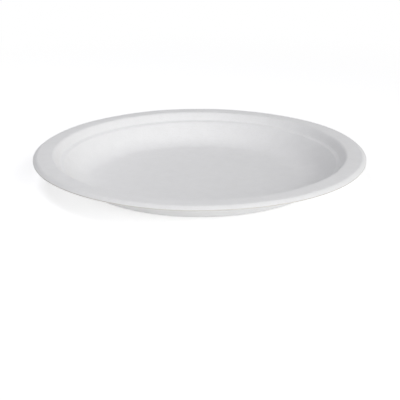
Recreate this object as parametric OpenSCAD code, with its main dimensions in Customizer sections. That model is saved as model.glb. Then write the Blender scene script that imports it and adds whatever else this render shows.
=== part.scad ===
// Round plate pressed from bagasse pulp: one sheet of even thickness, with a flat floor,
// a sloped wall broken by a stacking step, a flat rim and a short turned-down lip.
// Lengths are in millimetres. The plate stands on z = 0, centred on the Z axis.

/* [Rim] */
// Outer diameter, over the trimmed edge
plate_d = 230; // [180:1:300]
// Width of the turned-down lip, seen from above
lip_w = 2.5; // [1.5:0.1:5]
// Drop of the lip, from the top of the rim to the upper corner of the trimmed edge
lip_drop = 2; // [0.5:0.1:4]
// Radius of the bend between the rim and the lip, on the food side
lip_bend_r = 3.4; // [1:0.1:4]
// Width of the flat rim, between the bend lines on either side of it
rim_w = 11.6; // [8:0.1:18]
// Radius of the bend between the rim and the wall, on the food side
rim_bend_r = 2.8; // [1:0.1:4]

/* [Stacking step] */
// Width of the steep wall above the step, seen from above
upper_wall_w = 3.8; // [3:0.1:7]
// Depth of the step's outer edge below the top of the rim
step_depth = 5.3; // [3.5:0.1:7]
// Width of the step, seen from above
step_w = 2.8; // [1.5:0.1:4]
// Fall of the step towards the well
step_fall = 0.8; // [0.2:0.1:1.4]
// Radius of the two bends of the step
step_bend_r = 1; // [0.8:0.1:1.2]

/* [Well] */
// Height of the plate, from the table to the top of the rim
plate_h = 20.5; // [17:0.1:26]
// Width of the sloped wall below the step, seen from above
lower_wall_w = 12; // [10:0.1:16]
// Radius of the sweep between the wall and the floor, on the food side
floor_bend_r = 17.5; // [8:0.5:20]

/* [Sheet] */
// Thickness of the pressed pulp
sheet_t = 0.7; // [0.5:0.05:1]

/* [Hidden] */
// Angle of arc that one point of a bend stands for
bend_step_a = 6;
// Facets of the preview's circles
$fn = 240;
pulp_white = [0.945, 0.945, 0.945];

trim_r = plate_d / 2;
lip_r = trim_r - lip_w;
rim_r = lip_r - rim_w;
step_outer_r = rim_r - upper_wall_w;
step_inner_r = step_outer_r - step_w;
floor_r = step_inner_r - lower_wall_w;
step_outer_z = plate_h - step_depth;
step_inner_z = step_outer_z - step_fall;

// Bend lines of the food side from the axis outwards: [radius, height, bend radius]
bend_lines = [
    [0, sheet_t, 0],
    [floor_r, sheet_t, floor_bend_r],
    [step_inner_r, step_inner_z, step_bend_r],
    [step_outer_r, step_outer_z, step_bend_r],
    [rim_r, plate_h, rim_bend_r],
    [lip_r, plate_h, lip_bend_r],
    [trim_r, plate_h - lip_drop, 0],
];
last = len(bend_lines) - 1;

// Direction from bend line i to the next one, as an angle above the horizontal
function slope(i) =
    let (run = bend_lines[i + 1] - bend_lines[i])
    atan2(run[1], run[0]);

// Points of the bend at line i, on the parallel face that lies depth below the food side.
// Both faces bend about one centre, so the sheet keeps its thickness.
function bend(i, depth) =
    let (
        before = slope(i - 1),
        after = slope(i),
        turn = after - before,
        side = sign(turn),
        food_r = bend_lines[i][2],
        to_centre = food_r / cos(turn / 2),
        middle = (before + after) / 2 + side * 90,
        centre = [
            bend_lines[i][0] + to_centre * cos(middle),
            bend_lines[i][1] + to_centre * sin(middle)
        ],
        face_r = food_r + side * depth,
        count = max(2, ceil(abs(turn) / bend_step_a))
    )
    [
        for (k = [0:count])
            let (a = before + turn * k / count - side * 90)
            centre + face_r * [cos(a), sin(a)]
    ];

// Height at which the face that lies depth below the food side meets the trimmed edge
function trim_z(depth) = bend_lines[last][1] - depth / cos(slope(last - 1));

// One face of the sheet, from the axis to the trimmed edge
function face(depth) = [
    [0, sheet_t - depth],
    for (i = [1:last - 1]) each bend(i, depth),
    [trim_r, trim_z(depth)],
];

function reversed(points) = [for (i = [len(points) - 1:-1:0]) points[i]];

module plate() {
    color(pulp_white)
        rotate_extrude()
            polygon(concat(face(0), reversed(face(sheet_t))));
}

plate();
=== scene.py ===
"""A round plate pressed from white bagasse pulp, on a white sweep under soft studio light.

Lengths in the dataclasses are in millimetres. Blender's own are in metres, Z up, with the
plate standing on z = 0 and centred on the Z axis.
"""

from __future__ import annotations

import logging
import math
import sys
from dataclasses import dataclass
from enum import Enum
from typing import Any

import bpy
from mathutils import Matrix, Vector

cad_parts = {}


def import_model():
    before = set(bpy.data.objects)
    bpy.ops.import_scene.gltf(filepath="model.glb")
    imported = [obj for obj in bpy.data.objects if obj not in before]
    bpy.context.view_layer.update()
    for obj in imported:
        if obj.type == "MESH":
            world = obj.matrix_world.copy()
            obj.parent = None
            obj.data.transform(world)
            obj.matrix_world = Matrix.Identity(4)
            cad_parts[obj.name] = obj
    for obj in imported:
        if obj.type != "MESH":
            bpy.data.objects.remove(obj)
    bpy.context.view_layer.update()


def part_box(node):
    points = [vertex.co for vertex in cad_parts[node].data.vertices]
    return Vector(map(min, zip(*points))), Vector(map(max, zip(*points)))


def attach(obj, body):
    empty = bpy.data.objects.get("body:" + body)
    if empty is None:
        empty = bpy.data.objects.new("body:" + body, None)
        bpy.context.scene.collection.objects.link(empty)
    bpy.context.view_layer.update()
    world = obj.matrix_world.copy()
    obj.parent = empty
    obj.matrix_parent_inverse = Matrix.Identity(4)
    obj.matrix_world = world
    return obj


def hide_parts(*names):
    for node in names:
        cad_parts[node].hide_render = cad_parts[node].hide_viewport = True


MM = 0.001
MICRON = 1e-6
log = logging.getLogger("plate")


def linear(hex_colour: str) -> tuple[float, float, float, float]:
    """Turns an sRGB hex colour into the linear colour that a shader takes.

    Args:
        hex_colour: six hex digits, with or without a leading hash.

    Returns:
        Linear red, green, blue and an alpha of 1.
    """
    digits = hex_colour.lstrip("#")
    channels = []
    for start in (0, 2, 4):
        value = int(digits[start:start + 2], 16) / 255
        channels.append(value / 12.92 if value <= 0.04045 else ((value + 0.055) / 1.055) ** 2.4)
    return (channels[0], channels[1], channels[2], 1.0)


def per_metre(size_mm: float) -> float:
    """Gives the texture scale at which one feature of a noise or cell pattern is size_mm wide."""
    return 1 / (size_mm * MM)


def add(
    tree: bpy.types.NodeTree,
    kind: str,
    inputs: dict[Any, Any] | None = None,
    **settings: Any,
) -> bpy.types.Node:
    """Adds a node to a tree, with its settings and its inputs.

    Args:
        tree: the tree that gets the node.
        kind: the node's type name.
        inputs: socket name or number, with the value or the output socket that it takes.
        settings: the node's properties.

    Returns:
        The new node.
    """
    node = tree.nodes.new(kind)
    for name, value in settings.items():
        setattr(node, name, value)
    for key, value in (inputs or {}).items():
        if isinstance(value, bpy.types.NodeSocket):
            tree.links.new(value, node.inputs[key])
        else:
            node.inputs[key].default_value = value
    return node


class BendLine(Enum):
    """The lines where the sheet turns, from the axis outwards."""

    AXIS = 0
    FLOOR = 1
    STEP_FOOT = 2
    STEP_HEAD = 3
    RIM = 4
    LIP = 5
    TRIM = 6


@dataclass(frozen=True)
class PulpFinish:
    """Bleached bagasse pulp, hot-pressed between a smooth tool and a wire screen."""

    # Bleached cane pulp is a soft neutral white, a shade greyer where the sheet is thin
    pulp: str = "#F1F1F1"
    thin_pulp: str = "#EEEEEE"
    # The die cuts through the fibres, so the edge is drier, warmer and darker. Part of its darkness is
    # painted shade, for the shadow of the frayed fibres and of a neighbouring lip above it
    cut_pulp_and_shade: str = "#DAD7D1"
    # The larger, the closer the cut colour comes to the edge's two corners
    cut_reach: float = 12.0
    # Clouds of thin pulp, seen where their noise passes the first value and whole at the second
    cloud_size: float = 9.0
    cloud_levels: tuple[float, float] = (0.35, 0.7)
    # Fibres in four directions, which show as faint dashes against the light. A cane fibre is
    # 0.02 mm wide: it is drawn at 0.25 mm, the least that shows
    fibre_angles: tuple[int, ...] = (18, 71, 127, 164)
    fibre_length: float = 3.2
    fibre_width: float = 0.25
    fibre_levels: tuple[float, float] = (0.62, 0.72)
    fibre_tint: float = 0.18
    # Specks of cane pith that the bleach leaves behind
    pith: str = "#D9CFB8"
    speck_spacing: float = 9.0
    speck_radius: float = 0.28
    speck_tint: float = 0.5
    # Forming wire of 28 meshes to the inch, printed into the underside
    wire_pitch: float = 0.9
    grain_size: float = 0.6
    # Relief of the grain, the fibres, the wire's print and the cut edge, in thousandths of a
    # millimetre: it breaks the light up into a matt, slightly woolly sheen
    grain_depth: float = 22.0
    fibre_depth: float = 9.0
    print_depth: float = 55.0
    cut_depth: float = 160.0
    roughness: float = 0.78
    # Cellulose
    ior: float = 1.5

    def make(self) -> bpy.types.Material:
        """Builds the material.

        Returns:
            The material, which reads the mesh's attribute "side": 0 on the food side, 1 underneath.
        """
        material = bpy.data.materials.new("pressed_bagasse_pulp")
        material.use_nodes = True
        tree = material.node_tree
        tree.nodes.clear()
        place = add(tree, "ShaderNodeTexCoord").outputs["Object"]
        side = add(tree, "ShaderNodeAttribute", attribute_name="side").outputs["Fac"]
        cut = self._cut_mask(tree, side)
        fibres = self._fibres(tree, place)
        colour = self._colour(tree, place, cut, fibres)
        height = self._height(tree, place, side, cut, fibres)
        bump = add(tree, "ShaderNodeBump", {"Strength": 1.0, "Distance": MICRON, "Height": height})
        shader = add(tree, "ShaderNodeBsdfPrincipled", {
            "Base Color": colour,
            "Roughness": self.roughness,
            "IOR": self.ior,
            "Normal": bump.outputs["Normal"],
        })
        add(tree, "ShaderNodeOutputMaterial", {"Surface": shader.outputs["BSDF"]})
        return material

    def _cut_mask(self, tree: bpy.types.NodeTree, side: bpy.types.NodeSocket) -> bpy.types.NodeSocket:
        """Masks the trimmed edge, where the attribute passes from 0 to 1.

        Args:
            tree: the material's tree.
            side: the attribute.

        Returns:
            A socket that is 1 over most of the edge and 0 on both faces.
        """
        other = add(tree, "ShaderNodeMath", {0: 1.0, 1: side}, operation="SUBTRACT")
        both = add(tree, "ShaderNodeMath", {0: side, 1: other.outputs[0]}, operation="MULTIPLY")
        return add(tree, "ShaderNodeMath", {
            0: both.outputs[0],
            1: self.cut_reach,
        }, operation="MULTIPLY", use_clamp=True).outputs[0]

    def _fibres(self, tree: bpy.types.NodeTree, place: bpy.types.NodeSocket) -> bpy.types.NodeSocket:
        """Draws short fibres that lie across each other in the sheet.

        Args:
            tree: the material's tree.
            place: Object coordinates.

        Returns:
            A socket that is 1 on a fibre and 0 beside it.
        """
        total = None
        scale = (per_metre(self.fibre_length), per_metre(self.fibre_width), per_metre(self.grain_size))
        for angle in self.fibre_angles:
            turned = add(tree, "ShaderNodeMapping", {
                "Vector": place,
                "Rotation": (0.0, 0.0, math.radians(angle)),
                "Scale": scale,
            })
            strand = add(tree, "ShaderNodeTexNoise", {
                "Vector": turned.outputs["Vector"],
                "Scale": 1.0,
                "Detail": 1.0,
                "Roughness": 0.4,
            })
            sharp = add(tree, "ShaderNodeMapRange", {
                "Value": strand.outputs["Fac"],
                "From Min": self.fibre_levels[0],
                "From Max": self.fibre_levels[1],
            })
            if total is None:
                total = sharp.outputs["Result"]
            else:
                total = add(tree, "ShaderNodeMath", {
                    0: total,
                    1: sharp.outputs["Result"],
                }, operation="MAXIMUM").outputs[0]
        return total

    def _colour(
        self,
        tree: bpy.types.NodeTree,
        place: bpy.types.NodeSocket,
        cut: bpy.types.NodeSocket,
        fibres: bpy.types.NodeSocket,
    ) -> bpy.types.NodeSocket:
        """Mixes the clouds of thin pulp, the fibres, the pith specks and the cut edge, whose colour is
        partly painted shade.

        Args:
            tree: the material's tree.
            place: Object coordinates.
            cut: the mask of the trimmed edge.
            fibres: the mask of the fibres.

        Returns:
            The colour socket.
        """
        clouds = add(tree, "ShaderNodeTexNoise", {
            "Vector": place,
            "Scale": per_metre(self.cloud_size),
            "Detail": 4.0,
            "Roughness": 0.62,
        })
        thin = add(tree, "ShaderNodeMapRange", {
            "Value": clouds.outputs["Fac"],
            "From Min": self.cloud_levels[0],
            "From Max": self.cloud_levels[1],
        })
        sheet = add(tree, "ShaderNodeMix", {
            "Factor": thin.outputs["Result"],
            6: linear(self.pulp),
            7: linear(self.thin_pulp),
        }, data_type="RGBA")
        cells = add(tree, "ShaderNodeTexVoronoi", {
            "Vector": place,
            "Scale": per_metre(self.speck_spacing),
        })
        reach = self.speck_radius / self.speck_spacing
        spot = add(tree, "ShaderNodeMapRange", {
            "Value": cells.outputs["Distance"],
            "From Min": reach,
            "From Max": reach * 0.5,
            "To Max": self.speck_tint,
        })
        specked = add(tree, "ShaderNodeMix", {
            "Factor": spot.outputs["Result"],
            6: sheet.outputs[2],
            7: linear(self.pith),
        }, data_type="RGBA")
        strand = add(tree, "ShaderNodeMath", {0: fibres, 1: self.fibre_tint}, operation="MULTIPLY")
        fibrous = add(tree, "ShaderNodeMix", {
            "Factor": strand.outputs[0],
            6: specked.outputs[2],
            7: linear(self.cut_pulp_and_shade),
        }, data_type="RGBA")
        # The cut edge's colour: its own darker, warmer tone, with painted shade in it
        edge = add(tree, "ShaderNodeMix", {
            "Factor": cut,
            6: fibrous.outputs[2],
            7: linear(self.cut_pulp_and_shade),
        }, data_type="RGBA")
        return edge.outputs[2]

    def _height(
        self,
        tree: bpy.types.NodeTree,
        place: bpy.types.NodeSocket,
        side: bpy.types.NodeSocket,
        cut: bpy.types.NodeSocket,
        fibres: bpy.types.NodeSocket,
    ) -> bpy.types.NodeSocket:
        """Adds up the relief of the pressed surface, in thousandths of a millimetre.

        Args:
            tree: the material's tree.
            place: Object coordinates.
            side: the attribute, which lets the screen's print show underneath only.
            cut: the mask of the trimmed edge.
            fibres: the mask of the fibres.

        Returns:
            The height socket.
        """
        grain = add(tree, "ShaderNodeTexNoise", {
            "Vector": place,
            "Scale": per_metre(self.grain_size),
            "Detail": 3.0,
            "Roughness": 0.6,
        })
        wires = []
        # A wave texture repeats every 2 pi / 20 of its own unit
        wire_scale = math.tau / 20 / (self.wire_pitch * MM)
        for direction in ("X", "Y"):
            wire = add(tree, "ShaderNodeTexWave", {
                "Vector": place,
                "Scale": wire_scale,
                "Distortion": 0.6,
                "Detail": 1.0,
            }, wave_type="BANDS", bands_direction=direction)
            wires.append(wire.outputs["Fac"])
        mesh = add(tree, "ShaderNodeMath", {0: wires[0], 1: wires[1]}, operation="MULTIPLY")
        printed = add(tree, "ShaderNodeMath", {0: mesh.outputs[0], 1: side}, operation="MULTIPLY")
        fray = add(tree, "ShaderNodeTexNoise", {
            "Vector": place,
            "Scale": per_metre(self.fibre_width),
            "Detail": 2.0,
            "Roughness": 0.7,
        })
        frayed = add(tree, "ShaderNodeMath", {0: fray.outputs["Fac"], 1: cut}, operation="MULTIPLY")
        height = add(tree, "ShaderNodeMath", {
            0: grain.outputs["Fac"],
            1: self.grain_depth,
        }, operation="MULTIPLY")
        reliefs = (
            (fibres, self.fibre_depth),
            (printed.outputs[0], self.print_depth),
            (frayed.outputs[0], self.cut_depth),
        )
        for part, depth in reliefs:
            height = add(tree, "ShaderNodeMath", {
                0: part,
                1: depth,
                2: height.outputs[0],
            }, operation="MULTIPLY_ADD")
        return height.outputs[0]


@dataclass(frozen=True)
class Section:
    """The sheet in section: widths are seen from above, and each bend's radius is the food side's."""

    outer_radius: float
    height: float
    sheet: float = 0.7
    lip_width: float = 2.5
    lip_drop: float = 2.0
    lip_bend: float = 3.4
    rim_width: float = 11.6
    rim_bend: float = 2.8
    upper_wall_width: float = 3.8
    step_depth: float = 5.3
    step_width: float = 2.8
    step_fall: float = 0.8
    step_bend: float = 1.0
    lower_wall_width: float = 12.0
    floor_bend: float = 17.5
    # The die leaves the trimmed edge's corners slightly rounded
    trim_bend: float = 0.12

    def bend_lines(self) -> dict[BendLine, tuple[float, float, float]]:
        """Works out each bend line of the food side.

        Returns:
            For each line its distance from the axis, its height and its bend's radius.
        """
        lip = self.outer_radius - self.lip_width
        rim = lip - self.rim_width
        step_head = rim - self.upper_wall_width
        step_foot = step_head - self.step_width
        floor = step_foot - self.lower_wall_width
        step_top = self.height - self.step_depth
        return {
            BendLine.AXIS: (0.0, self.sheet, 0.0),
            BendLine.FLOOR: (floor, self.sheet, self.floor_bend),
            BendLine.STEP_FOOT: (step_foot, step_top - self.step_fall, self.step_bend),
            BendLine.STEP_HEAD: (step_head, step_top, self.step_bend),
            BendLine.RIM: (rim, self.height, self.rim_bend),
            BendLine.LIP: (lip, self.height, self.lip_bend),
            BendLine.TRIM: (self.outer_radius, self.height - self.lip_drop, self.trim_bend),
        }


class SheetTree:
    """Geometry Nodes tree that bends a sheet along its bend lines and turns it about the Z axis."""

    SIZES = {
        "Sheet Thickness": 0.0007,
        "Bend Step": math.radians(6),
        "Strip Length": 0.003,
        "Shortest Strip": 0.00003,
        "Rim Sag": 0.00065,
        "Edge Fray": 0.0001,
        "Fray Length": 0.004,
        "Edge Reach": 0.0004,
    }
    # Nearly all of a noise texture's values lie between these two
    NOISE_SPAN = {"From Min": 0.3, "From Max": 0.7}
    # The sag's noise is read on a circle of radius 1, so this gives two or three dips round it
    SAG_SCALE = 1.4
    # Strips across the trimmed edge
    EDGE_STRIPS = 3.0
    # Fewest strips round a bend
    LEAST_STRIPS = 2.0
    # Sides of the turned sheet, unless the modifier says otherwise
    TURN_SIDES = 480
    SEGMENTS = "Segments"
    SEED = "Seed"
    MATERIAL = "Material"

    def __init__(self) -> None:
        """Builds the tree and its named inputs."""
        self.tree = bpy.data.node_groups.new("turned_sheet", "GeometryNodeTree")
        face = self.tree.interface
        for line in BendLine:
            face.new_socket(name=self.place_name(line), in_out="INPUT", socket_type="NodeSocketVector")
            face.new_socket(name=self.bend_name(line), in_out="INPUT", socket_type="NodeSocketFloat")
        for name, default in self.SIZES.items():
            size = face.new_socket(name=name, in_out="INPUT", socket_type="NodeSocketFloat")
            size.default_value = default
        sides = face.new_socket(name=self.SEGMENTS, in_out="INPUT", socket_type="NodeSocketInt")
        sides.default_value = self.TURN_SIDES
        face.new_socket(name=self.SEED, in_out="INPUT", socket_type="NodeSocketFloat")
        face.new_socket(name=self.MATERIAL, in_out="INPUT", socket_type="NodeSocketMaterial")
        face.new_socket(name="Geometry", in_out="OUTPUT", socket_type="NodeSocketGeometry")
        self.given = add(self.tree, "NodeGroupInput").outputs
        outline = self._outline(*self._faces())
        mesh = self._turn(outline)
        mesh = self._warp(mesh)
        self._finish(mesh)

    @staticmethod
    def place_name(line: BendLine) -> str:
        """Names the input that holds a bend line's distance from the axis and height."""
        return f"{line.name.replace('_', ' ').title()} Place"

    @staticmethod
    def bend_name(line: BendLine) -> str:
        """Names the input that holds a bend line's radius."""
        return f"{line.name.replace('_', ' ').title()} Bend Radius"

    def identifier(self, name: str) -> str:
        """Finds the socket identifier by which a modifier sets a named input.

        Args:
            name: the input's name.

        Returns:
            The identifier.
        """
        for item in self.tree.interface.items_tree:
            if item.item_type == "SOCKET" and item.in_out == "INPUT" and item.name == name:
                return item.identifier
        raise KeyError(name)

    def _pick(self, index: bpy.types.NodeSocket, kind: str, names: list[str]) -> bpy.types.NodeSocket:
        """Picks one of several inputs by number.

        Args:
            index: which input to pick.
            kind: VECTOR or FLOAT.
            names: the inputs' names, in order.

        Returns:
            The picked value's socket.
        """
        switch = add(self.tree, "GeometryNodeIndexSwitch", data_type=kind)
        while len(switch.index_switch_items) < len(names):
            switch.index_switch_items.new()
        self.tree.links.new(index, switch.inputs["Index"])
        for number, name in enumerate(names):
            self.tree.links.new(self.given[name], switch.inputs[number + 1])
        return switch.outputs[0]

    def _faces(self) -> tuple[bpy.types.NodeSocket, bpy.types.NodeSocket]:
        """Draws the bend lines of the food side and of the underside as two open lines.

        Returns:
            The two curves. Each point of both holds its bend's radius in the attribute "bend".
        """
        tree = self.tree
        index = add(tree, "GeometryNodeInputIndex").outputs[0]
        place = self._pick(index, "VECTOR", [self.place_name(line) for line in BendLine])
        bend = self._pick(index, "FLOAT", [self.bend_name(line) for line in BendLine])
        points = add(tree, "GeometryNodePoints", {"Count": len(BendLine), "Position": place})
        line = add(tree, "GeometryNodePointsToCurves", {0: points.outputs[0]})
        food = add(tree, "GeometryNodeStoreNamedAttribute", {
            "Geometry": line.outputs[0],
            "Name": "bend",
            "Value": bend,
        }, data_type="FLOAT", domain="POINT")

        # A corner's tangent points halfway between its two sides, which gives half of its turn
        tangent = add(tree, "GeometryNodeInputTangent").outputs[0]
        onward = self._onward(index)
        half_turn = add(tree, "ShaderNodeVectorMath", {0: tangent, 1: onward}, operation="DOT_PRODUCT")
        inward = add(tree, "ShaderNodeVectorMath", {
            0: (0.0, 1.0, 0.0),
            1: tangent,
        }, operation="CROSS_PRODUCT")
        depth = add(tree, "ShaderNodeMath", {
            0: self.given["Sheet Thickness"],
            1: half_turn.outputs["Value"],
        }, operation="DIVIDE")
        mitre = add(tree, "ShaderNodeVectorMath", {
            0: inward.outputs[0],
            "Scale": depth.outputs[0],
        }, operation="SCALE")
        slope = add(tree, "ShaderNodeSeparateXYZ", {0: tangent})
        drop = add(tree, "ShaderNodeMath", {
            0: self.given["Sheet Thickness"],
            1: slope.outputs["X"],
        }, operation="DIVIDE")
        down = add(tree, "ShaderNodeVectorMath", {
            0: (0.0, 0.0, -1.0),
            "Scale": drop.outputs[0],
        }, operation="SCALE")
        at_trim = add(tree, "FunctionNodeCompare", {
            2: index,
            3: BendLine.TRIM.value,
        }, data_type="INT", operation="EQUAL")
        offset = add(tree, "GeometryNodeSwitch", {
            "Switch": at_trim.outputs[0],
            "False": mitre.outputs[0],
            "True": down.outputs[0],
        }, input_type="VECTOR")
        turn = add(tree, "ShaderNodeVectorMath", {0: onward, 1: tangent}, operation="CROSS_PRODUCT")
        turn_axis = add(tree, "ShaderNodeSeparateXYZ", {0: turn.outputs[0]})
        way = add(tree, "ShaderNodeMath", {0: turn_axis.outputs["Y"]}, operation="SIGN")
        under_bend = add(tree, "ShaderNodeMath", {
            0: way.outputs[0],
            1: self.given["Sheet Thickness"],
            2: bend,
        }, operation="MULTIPLY_ADD")
        bend_there = add(tree, "GeometryNodeSwitch", {
            "Switch": at_trim.outputs[0],
            "False": under_bend.outputs[0],
            "True": bend,
        }, input_type="FLOAT")
        rounded = add(tree, "GeometryNodeStoreNamedAttribute", {
            "Geometry": line.outputs[0],
            "Name": "bend",
            "Value": bend_there.outputs[0],
        }, data_type="FLOAT", domain="POINT")
        under = add(tree, "GeometryNodeSetPosition", {
            "Geometry": rounded.outputs[0],
            "Offset": offset.outputs[0],
        })
        return food.outputs[0], under.outputs[0]

    def _onward(self, index: bpy.types.NodeSocket) -> bpy.types.NodeSocket:
        """Gives the direction from each point of a curve to the next one.

        Args:
            index: the point's number.

        Returns:
            The direction's socket, of length 1.
        """
        tree = self.tree
        here = add(tree, "GeometryNodeInputPosition").outputs[0]
        following = add(tree, "ShaderNodeMath", {0: index, 1: 1.0}, operation="ADD")
        there = add(tree, "GeometryNodeFieldAtIndex", {
            "Index": following.outputs[0],
            "Value": here,
        }, data_type="FLOAT_VECTOR", domain="POINT")
        run = add(tree, "ShaderNodeVectorMath", {0: there.outputs[0], 1: here}, operation="SUBTRACT")
        return add(tree, "ShaderNodeVectorMath", {0: run.outputs[0]}, operation="NORMALIZE").outputs[0]

    def _outline(self, food: bpy.types.NodeSocket, under: bpy.types.NodeSocket) -> bpy.types.NodeSocket:
        """Joins both faces into one line from the axis out and back, and rounds its bends.

        Args:
            food: the food side's bend lines.
            under: the underside's bend lines.

        Returns:
            The outline's curve, with the attribute "side": 0 on the food side, 1 underneath.
        """
        tree = self.tree
        count = 2 * len(BendLine)
        index = add(tree, "GeometryNodeInputIndex").outputs[0]
        mirrored = add(tree, "ShaderNodeMath", {0: float(count - 1), 1: index}, operation="SUBTRACT")
        is_under = add(tree, "FunctionNodeCompare", {
            2: index,
            3: len(BendLine),
        }, data_type="INT", operation="GREATER_EQUAL")
        here = add(tree, "GeometryNodeInputPosition").outputs[0]
        bend = add(tree, "GeometryNodeInputNamedAttribute", {"Name": "bend"}, data_type="FLOAT").outputs[0]
        picked = []
        for kind, switch_kind, value in (("FLOAT_VECTOR", "VECTOR", here), ("FLOAT", "FLOAT", bend)):
            out = add(tree, "GeometryNodeSampleIndex", {
                "Geometry": food,
                "Value": value,
                "Index": index,
            }, data_type=kind, domain="POINT", clamp=True)
            back = add(tree, "GeometryNodeSampleIndex", {
                "Geometry": under,
                "Value": value,
                "Index": mirrored.outputs[0],
            }, data_type=kind, domain="POINT", clamp=True)
            picked.append(add(tree, "GeometryNodeSwitch", {
                "Switch": is_under.outputs[0],
                "False": out.outputs[0],
                "True": back.outputs[0],
            }, input_type=switch_kind).outputs[0])
        points = add(tree, "GeometryNodePoints", {"Count": count, "Position": picked[0]})
        sided = add(tree, "GeometryNodeStoreNamedAttribute", {
            "Geometry": points.outputs[0],
            "Name": "side",
            "Value": is_under.outputs[0],
        }, data_type="FLOAT", domain="POINT")
        bent = add(tree, "GeometryNodeStoreNamedAttribute", {
            "Geometry": sided.outputs[0],
            "Name": "bend",
            "Value": picked[1],
        }, data_type="FLOAT", domain="POINT")
        line = add(tree, "GeometryNodePointsToCurves", {0: bent.outputs[0]})
        tangent = add(tree, "GeometryNodeInputTangent").outputs[0]
        half_turn = add(tree, "ShaderNodeVectorMath", {
            0: tangent,
            1: self._onward(index),
        }, operation="DOT_PRODUCT")
        angle = add(tree, "ShaderNodeMath", {0: half_turn.outputs["Value"]}, operation="ARCCOSINE")
        # The angle is half of the turn, so it goes with half of a step
        step = add(tree, "ShaderNodeMath", {0: self.given["Bend Step"], 1: 0.5}, operation="MULTIPLY")
        steps = add(tree, "ShaderNodeMath", {0: angle.outputs[0], 1: step.outputs[0]}, operation="DIVIDE")
        arc = add(tree, "ShaderNodeMath", {0: angle.outputs[0], 1: bend}, operation="MULTIPLY")
        strips = add(tree, "ShaderNodeMath", {
            0: arc.outputs[0],
            1: self.given["Shortest Strip"],
        }, operation="DIVIDE")
        fewer = add(tree, "ShaderNodeMath", {0: steps.outputs[0], 1: strips.outputs[0]}, operation="MINIMUM")
        whole = add(tree, "ShaderNodeMath", {0: fewer.outputs[0]}, operation="CEIL")
        enough = add(tree, "ShaderNodeMath", {
            0: whole.outputs[0],
            1: self.LEAST_STRIPS,
        }, operation="MAXIMUM")
        return add(tree, "GeometryNodeFilletCurve", {
            "Curve": line.outputs[0],
            "Count": enough.outputs[0],
            "Radius": bend,
        }, mode="POLY").outputs[0]

    def _turn(self, outline: bpy.types.NodeSocket) -> bpy.types.NodeSocket:
        """Cuts the outline into short strips and turns it about the Z axis.

        Args:
            outline: the section's curve, with X as the distance from the axis and Z as the height.

        Returns:
            The closed mesh.
        """
        tree = self.tree
        index = add(tree, "GeometryNodeInputIndex").outputs[0]
        here = add(tree, "GeometryNodeInputPosition").outputs[0]
        side = add(tree, "GeometryNodeInputNamedAttribute", {"Name": "side"}, data_type="FLOAT").outputs[0]
        following = add(tree, "ShaderNodeMath", {0: index, 1: 1.0}, operation="ADD")
        there = add(tree, "GeometryNodeFieldAtIndex", {
            "Index": following.outputs[0],
            "Value": here,
        }, data_type="FLOAT_VECTOR", domain="POINT")
        next_side = add(tree, "GeometryNodeFieldAtIndex", {
            "Index": following.outputs[0],
            "Value": side,
        }, data_type="FLOAT", domain="POINT")
        length = add(tree, "ShaderNodeVectorMath", {0: there.outputs[0], 1: here}, operation="DISTANCE")
        strips = add(tree, "ShaderNodeMath", {
            0: length.outputs["Value"],
            1: self.given["Strip Length"],
        }, operation="DIVIDE")
        change = add(tree, "ShaderNodeMath", {0: next_side.outputs[0], 1: side}, operation="SUBTRACT")
        edge_strips = add(tree, "ShaderNodeMath", {
            0: change.outputs[0],
            1: self.EDGE_STRIPS,
        }, operation="MULTIPLY")
        cuts = add(tree, "ShaderNodeMath", {
            0: strips.outputs[0],
            1: edge_strips.outputs[0],
        }, operation="MAXIMUM")
        cut = add(tree, "GeometryNodeSubdivideCurve", {"Curve": outline, "Cuts": cuts.outputs[0]})

        trim = add(tree, "ShaderNodeSeparateXYZ", {0: self.given[self.place_name(BendLine.TRIM)]})
        circle = add(tree, "GeometryNodeCurvePrimitiveCircle", {
            "Resolution": self.given[self.SEGMENTS],
            "Radius": trim.outputs["X"],
        }, mode="RADIUS")
        upright = add(tree, "GeometryNodeSetCurveNormal", {"Curve": circle.outputs[0]}, mode="Z_UP")
        part = add(tree, "ShaderNodeSeparateXYZ", {0: here})
        inward = add(tree, "ShaderNodeMath", {
            0: part.outputs["X"],
            1: trim.outputs["X"],
        }, operation="SUBTRACT")
        flipped = add(tree, "ShaderNodeMath", {0: part.outputs["Z"], 1: -1.0}, operation="MULTIPLY")
        local = add(tree, "ShaderNodeCombineXYZ", {"X": inward.outputs[0], "Y": flipped.outputs[0]})
        section = add(tree, "GeometryNodeSetPosition", {
            "Geometry": cut.outputs[0],
            "Position": local.outputs[0],
        })
        turned = add(tree, "GeometryNodeCurveToMesh", {
            "Curve": upright.outputs[0],
            "Profile Curve": section.outputs[0],
        })
        return add(tree, "GeometryNodeMergeByDistance", {
            "Geometry": turned.outputs[0],
            "Distance": MICRON,
        }).outputs[0]

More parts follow.
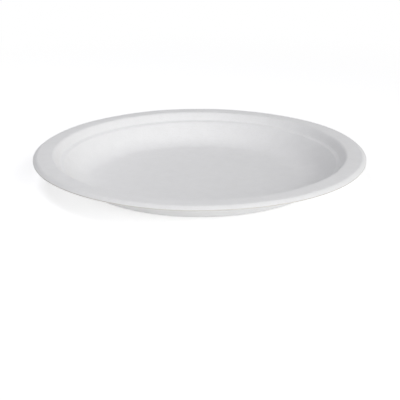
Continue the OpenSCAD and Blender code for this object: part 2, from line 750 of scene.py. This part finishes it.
    def _warp(self, mesh: bpy.types.NodeSocket) -> bpy.types.NodeSocket:
        """Lets the rim sag a little here and there, most at its edge, and frays the trimmed edge.

        Args:
            mesh: the turned sheet.

        Returns:
            The mesh after both.
        """
        tree = self.tree
        here = add(tree, "GeometryNodeInputPosition").outputs[0]
        part = add(tree, "ShaderNodeSeparateXYZ", {0: here})
        flat = add(tree, "ShaderNodeCombineXYZ", {"X": part.outputs["X"], "Y": part.outputs["Y"]})
        outward = add(tree, "ShaderNodeVectorMath", {0: flat.outputs[0]}, operation="NORMALIZE")
        dips = add(tree, "ShaderNodeTexNoise", {
            "Vector": outward.outputs[0],
            "W": self.given[self.SEED],
            "Scale": self.SAG_SCALE,
            "Detail": 1.0,
        }, noise_dimensions="4D")
        fall = add(tree, "ShaderNodeMapRange", {"Value": dips.outputs["Fac"], **self.NOISE_SPAN})
        rim = add(tree, "ShaderNodeSeparateXYZ", {0: self.given[self.place_name(BendLine.RIM)]})
        trim = add(tree, "ShaderNodeSeparateXYZ", {0: self.given[self.place_name(BendLine.TRIM)]})
        reach = add(tree, "ShaderNodeVectorMath", {0: flat.outputs[0]}, operation="LENGTH")
        share = add(tree, "ShaderNodeMapRange", {
            "Value": reach.outputs["Value"],
            "From Min": rim.outputs["X"],
            "From Max": trim.outputs["X"],
        }, interpolation_type="SMOOTHSTEP")
        lowered = add(tree, "ShaderNodeMath", {
            0: share.outputs["Result"],
            1: fall.outputs["Result"],
        }, operation="MULTIPLY")
        down = add(tree, "ShaderNodeMath", {
            0: lowered.outputs[0],
            1: self.given["Rim Sag"],
        }, operation="MULTIPLY")
        fall_vector = add(tree, "ShaderNodeVectorMath", {
            0: (0.0, 0.0, -1.0),
            "Scale": down.outputs[0],
        }, operation="SCALE")
        sagged = add(tree, "GeometryNodeSetPosition", {"Geometry": mesh, "Offset": fall_vector.outputs[0]})

        inner = add(tree, "ShaderNodeMath", {
            0: trim.outputs["X"],
            1: self.given["Edge Reach"],
        }, operation="SUBTRACT")
        at_edge = add(tree, "FunctionNodeCompare", {
            0: reach.outputs["Value"],
            1: inner.outputs[0],
        }, data_type="FLOAT", operation="GREATER_THAN")
        fray_scale = add(tree, "ShaderNodeMath", {0: 1.0, 1: self.given["Fray Length"]}, operation="DIVIDE")
        rough = add(tree, "ShaderNodeTexNoise", {
            "Vector": here,
            "W": self.given[self.SEED],
            "Scale": fray_scale.outputs[0],
            "Detail": 2.0,
        }, noise_dimensions="4D")
        bite = add(tree, "ShaderNodeMapRange", {"Value": rough.outputs["Fac"], **self.NOISE_SPAN})
        inward = add(tree, "ShaderNodeMath", {
            0: bite.outputs["Result"],
            1: self.given["Edge Fray"],
        }, operation="MULTIPLY")
        pull = add(tree, "ShaderNodeMath", {0: inward.outputs[0], 1: -1.0}, operation="MULTIPLY")
        bitten = add(tree, "ShaderNodeVectorMath", {
            0: outward.outputs[0],
            "Scale": pull.outputs[0],
        }, operation="SCALE")
        return add(tree, "GeometryNodeSetPosition", {
            "Geometry": sagged.outputs[0],
            "Selection": at_edge.outputs[0],
            "Offset": bitten.outputs[0],
        }).outputs[0]

    def _finish(self, mesh: bpy.types.NodeSocket) -> None:
        """Smooths the mesh, gives it its material and ends the tree.

        Args:
            mesh: the finished shape.
        """
        smooth = add(self.tree, "GeometryNodeSetShadeSmooth", {"Geometry": mesh})
        real = add(self.tree, "GeometryNodeRealizeInstances", {"Geometry": smooth.outputs[0]})
        dressed = add(self.tree, "GeometryNodeSetMaterial", {
            "Geometry": real.outputs[0],
            "Material": self.given[self.MATERIAL],
        })
        add(self.tree, "NodeGroupOutput", {"Geometry": dressed.outputs[0]})


@dataclass
class Plate:
    """The pressed plate, one sheet with no separate pieces."""

    section: Section
    finish: PulpFinish
    segments: int = 480
    # A pulp rim never lies quite level: its edge sags by up to this much
    rim_sag: float = 0.65
    # The die's cut wanders by this much, in bites of about the fray's length, over the part of
    # the sheet that lies within the edge's reach
    edge_fray: float = 0.1
    fray_length: float = 4.0
    edge_reach: float = 0.4
    seed: float = 119.0

    def build(self) -> bpy.types.Object:
        """Makes the plate and puts it in the frame in place of the plain solid.

        Returns:
            The finished piece.
        """
        tree = SheetTree()
        carrier = bpy.data.objects.new("pressed_plate", bpy.data.meshes.new("seed_mesh"))
        bpy.context.scene.collection.objects.link(carrier)
        modifier = carrier.modifiers.new("sheet", "NODES")
        modifier.node_group = tree.tree
        for name, value in self._inputs(tree).items():
            modifier[tree.identifier(name)] = value
        view = bpy.context.evaluated_depsgraph_get()
        mesh = bpy.data.meshes.new_from_object(carrier.evaluated_get(view))
        carrier.modifiers.clear()
        carrier.data = mesh
        mesh.name = "pressed_plate"
        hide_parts("plate")
        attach(carrier, "root")
        log.info("%s: %d faces, %d points", carrier.name, len(mesh.polygons), len(mesh.vertices))
        return carrier

    def _inputs(self, tree: SheetTree) -> dict[str, Any]:
        """Gives the tree's inputs their values, in metres.

        Args:
            tree: the tree whose inputs are set.

        Returns:
            Each input's name and value.
        """
        values: dict[str, Any] = {
            "Sheet Thickness": self.section.sheet * MM,
            "Rim Sag": self.rim_sag * MM,
            "Edge Fray": self.edge_fray * MM,
            "Fray Length": self.fray_length * MM,
            "Edge Reach": self.edge_reach * MM,
            tree.SEGMENTS: self.segments,
            tree.SEED: self.seed,
            tree.MATERIAL: self.finish.make(),
        }
        for line, (radius, height, bend) in self.section.bend_lines().items():
            values[tree.place_name(line)] = (radius * MM, 0.0, height * MM)
            values[tree.bend_name(line)] = bend * MM
        return values


@dataclass
class Lamp:
    """A soft box that faces the plate: angles in degrees, lengths in metres, power in watts.

    The azimuth is 0 in front of the plate and 90 to its right, and the colour is in sRGB hex.
    """

    name: str
    azimuth: float
    elevation: float
    distance: float
    width: float
    height: float
    power: float
    colour: str = "#FFFFFF"

    def build(self) -> bpy.types.Object:
        """Makes the lamp.

        Returns:
            The lamp's object.
        """
        data = bpy.data.lights.new(self.name, "AREA")
        data.shape = "RECTANGLE"
        data.size = self.width
        data.size_y = self.height
        data.energy = self.power
        data.color = linear(self.colour)[:3]
        lamp = bpy.data.objects.new(self.name, data)
        around = math.radians(self.azimuth)
        up = math.radians(self.elevation)
        away = Vector((math.sin(around) * math.cos(up), -math.cos(around) * math.cos(up), math.sin(up)))
        lamp.location = away * self.distance
        lamp.rotation_euler = away.to_track_quat("Z", "Y").to_euler()
        lamp.visible_camera = False
        bpy.context.scene.collection.objects.link(lamp)
        return lamp


@dataclass
class Studio:
    """The white sweep, the lamps and the world: lengths are in metres."""

    floor_radius: float = 6.0
    floor_sides: int = 96
    floor_colour: str = "#E8E8E8"
    white: str = "#FFFFFF"
    # The plate's shadow on the floor fades into plain white between these two distances
    plain_from: float = 0.25
    plain_to: float = 0.5
    # How much the floor shines of itself: to the camera, and onto the plate
    glow: float = 0.5
    bounce: float = 0.25
    # Level of the light from all round
    world_level: float = 0.15
    # A large box in front of the plate, to its right, a small one close above its left side, a
    # trace bluer than the others, and a weak one behind it, to its right
    lamps: tuple[Lamp, ...] = (
        Lamp("key", 35.0, 26.0, distance=3.0, width=2.4, height=2.4, power=64.6),
        Lamp("top", -90.0, 68.0, distance=1.0, width=0.5, height=0.5, power=3.15, colour="#F9F9FF"),
        Lamp("rear", 135.0, 18.0, distance=3.0, width=1.4, height=0.8, power=7.5),
    )

    def build(self) -> None:
        """Makes the floor, the lamps and the world."""
        self._floor()
        self._world()
        for lamp in self.lamps:
            lamp.build()
            log.info("lamp %s: %.1f W", lamp.name, lamp.power)

    def _floor(self) -> None:
        """Makes the floor, a disc whose top lies at z = 0."""
        bpy.ops.mesh.primitive_circle_add(
            vertices=self.floor_sides,
            radius=self.floor_radius,
            fill_type="NGON",
        )
        floor = bpy.context.object
        floor.name = "floor"
        floor.data.materials.append(self._floor_paint())
        log.info("floor: %.1f m across", 2 * self.floor_radius)

    def _floor_paint(self) -> bpy.types.Material:
        """Paints the floor white for the camera, with the plate's soft shadow.

        Returns:
            The material.
        """
        material = bpy.data.materials.new("white_sweep")
        material.use_nodes = True
        tree = material.node_tree
        tree.nodes.clear()
        ray = add(tree, "ShaderNodeLightPath")
        seen = add(tree, "ShaderNodeMath", {
            0: ray.outputs["Is Camera Ray"],
            1: ray.outputs["Is Glossy Ray"],
        }, operation="MAXIMUM")
        bright = add(tree, "ShaderNodeMath", {
            0: seen.outputs[0],
            1: ray.outputs["Is Transmission Ray"],
        }, operation="MAXIMUM")
        place = add(tree, "ShaderNodeTexCoord").outputs["Object"]
        away = add(tree, "ShaderNodeVectorMath", {0: place}, operation="LENGTH")
        far = add(tree, "ShaderNodeMapRange", {
            "Value": away.outputs["Value"],
            "From Min": self.plain_from,
            "From Max": self.plain_to,
        }, interpolation_type="SMOOTHSTEP")
        blank = add(tree, "ShaderNodeMath", {
            0: far.outputs["Result"],
            1: bright.outputs[0],
        }, operation="MULTIPLY")
        lit = add(tree, "ShaderNodeBsdfDiffuse", {"Color": linear(self.floor_colour)})
        lift = add(tree, "ShaderNodeMapRange", {
            "Value": bright.outputs[0],
            "To Min": self.bounce,
            "To Max": self.glow,
        })
        glow = add(tree, "ShaderNodeEmission", {
            "Color": linear(self.white),
            "Strength": lift.outputs["Result"],
        })
        near_paint = add(tree, "ShaderNodeAddShader", {0: lit.outputs[0], 1: glow.outputs[0]})
        far_paint = add(tree, "ShaderNodeEmission", {"Color": linear(self.white), "Strength": 1.0})
        paint = add(tree, "ShaderNodeMixShader", {
            0: blank.outputs[0],
            1: near_paint.outputs[0],
            2: far_paint.outputs[0],
        })
        add(tree, "ShaderNodeOutputMaterial", {"Surface": paint.outputs[0]})
        return material

    def _world(self) -> None:
        """Lights the plate evenly from all round, and shows white to the camera."""
        world = bpy.data.worlds.new("white_room")
        bpy.context.scene.world = world
        world.use_nodes = True
        tree = world.node_tree
        tree.nodes.clear()
        ray = add(tree, "ShaderNodeLightPath")
        seen = add(tree, "ShaderNodeMath", {
            0: ray.outputs["Is Camera Ray"],
            1: ray.outputs["Is Glossy Ray"],
        }, operation="MAXIMUM")
        bright = add(tree, "ShaderNodeMath", {
            0: seen.outputs[0],
            1: ray.outputs["Is Transmission Ray"],
        }, operation="MAXIMUM")
        level = add(tree, "ShaderNodeMapRange", {"Value": bright.outputs[0], "To Min": self.world_level})
        sky = add(tree, "ShaderNodeBackground", {
            "Color": linear(self.white),
            "Strength": level.outputs["Result"],
        })
        add(tree, "ShaderNodeOutputWorld", {"Surface": sky.outputs[0]})


@dataclass
class Viewpoint:
    """The camera, where the photographer stood: distances are from the centre of the rim."""

    rim_height: float
    distance: float = 903.0
    elevation: float = 17.13
    tilt: float = 19.28
    aside: float = 0.18
    lens: float = 117.2
    sensor: float = 36.0
    # Nothing nearer or farther than this is seen
    nearest: float = 50.0
    farthest: float = 40000.0

    def build(self) -> None:
        """Makes the camera and hands it to the scene."""
        data = bpy.data.cameras.new("camera")
        data.lens = self.lens
        data.sensor_width = self.sensor
        data.clip_start = self.nearest * MM
        data.clip_end = self.farthest * MM
        camera = bpy.data.objects.new("camera", data)
        up = math.radians(self.elevation)
        camera.location = (
            self.aside * MM,
            -self.distance * math.cos(up) * MM,
            (self.rim_height + self.distance * math.sin(up)) * MM,
        )
        camera.rotation_euler = (math.radians(90.0 - self.tilt), 0.0, 0.0)
        bpy.context.scene.collection.objects.link(camera)
        bpy.context.scene.camera = camera
        log.info("camera: %.0f mm lens, %.2f m away", self.lens, self.distance * MM)


def main() -> None:
    """Loads the frame, then builds the camera, the plate and the studio in that order."""
    logging.basicConfig(level=logging.INFO, format="%(name)s: %(message)s", stream=sys.stdout)
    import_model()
    bpy.context.scene.view_settings.view_transform = "Standard"
    low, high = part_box("plate")
    section = Section(outer_radius=high.x / MM, height=high.z / MM)
    Viewpoint(rim_height=section.height).build()
    Plate(section, PulpFinish()).build()
    Studio().build()


if __name__ == "__main__":
    main()
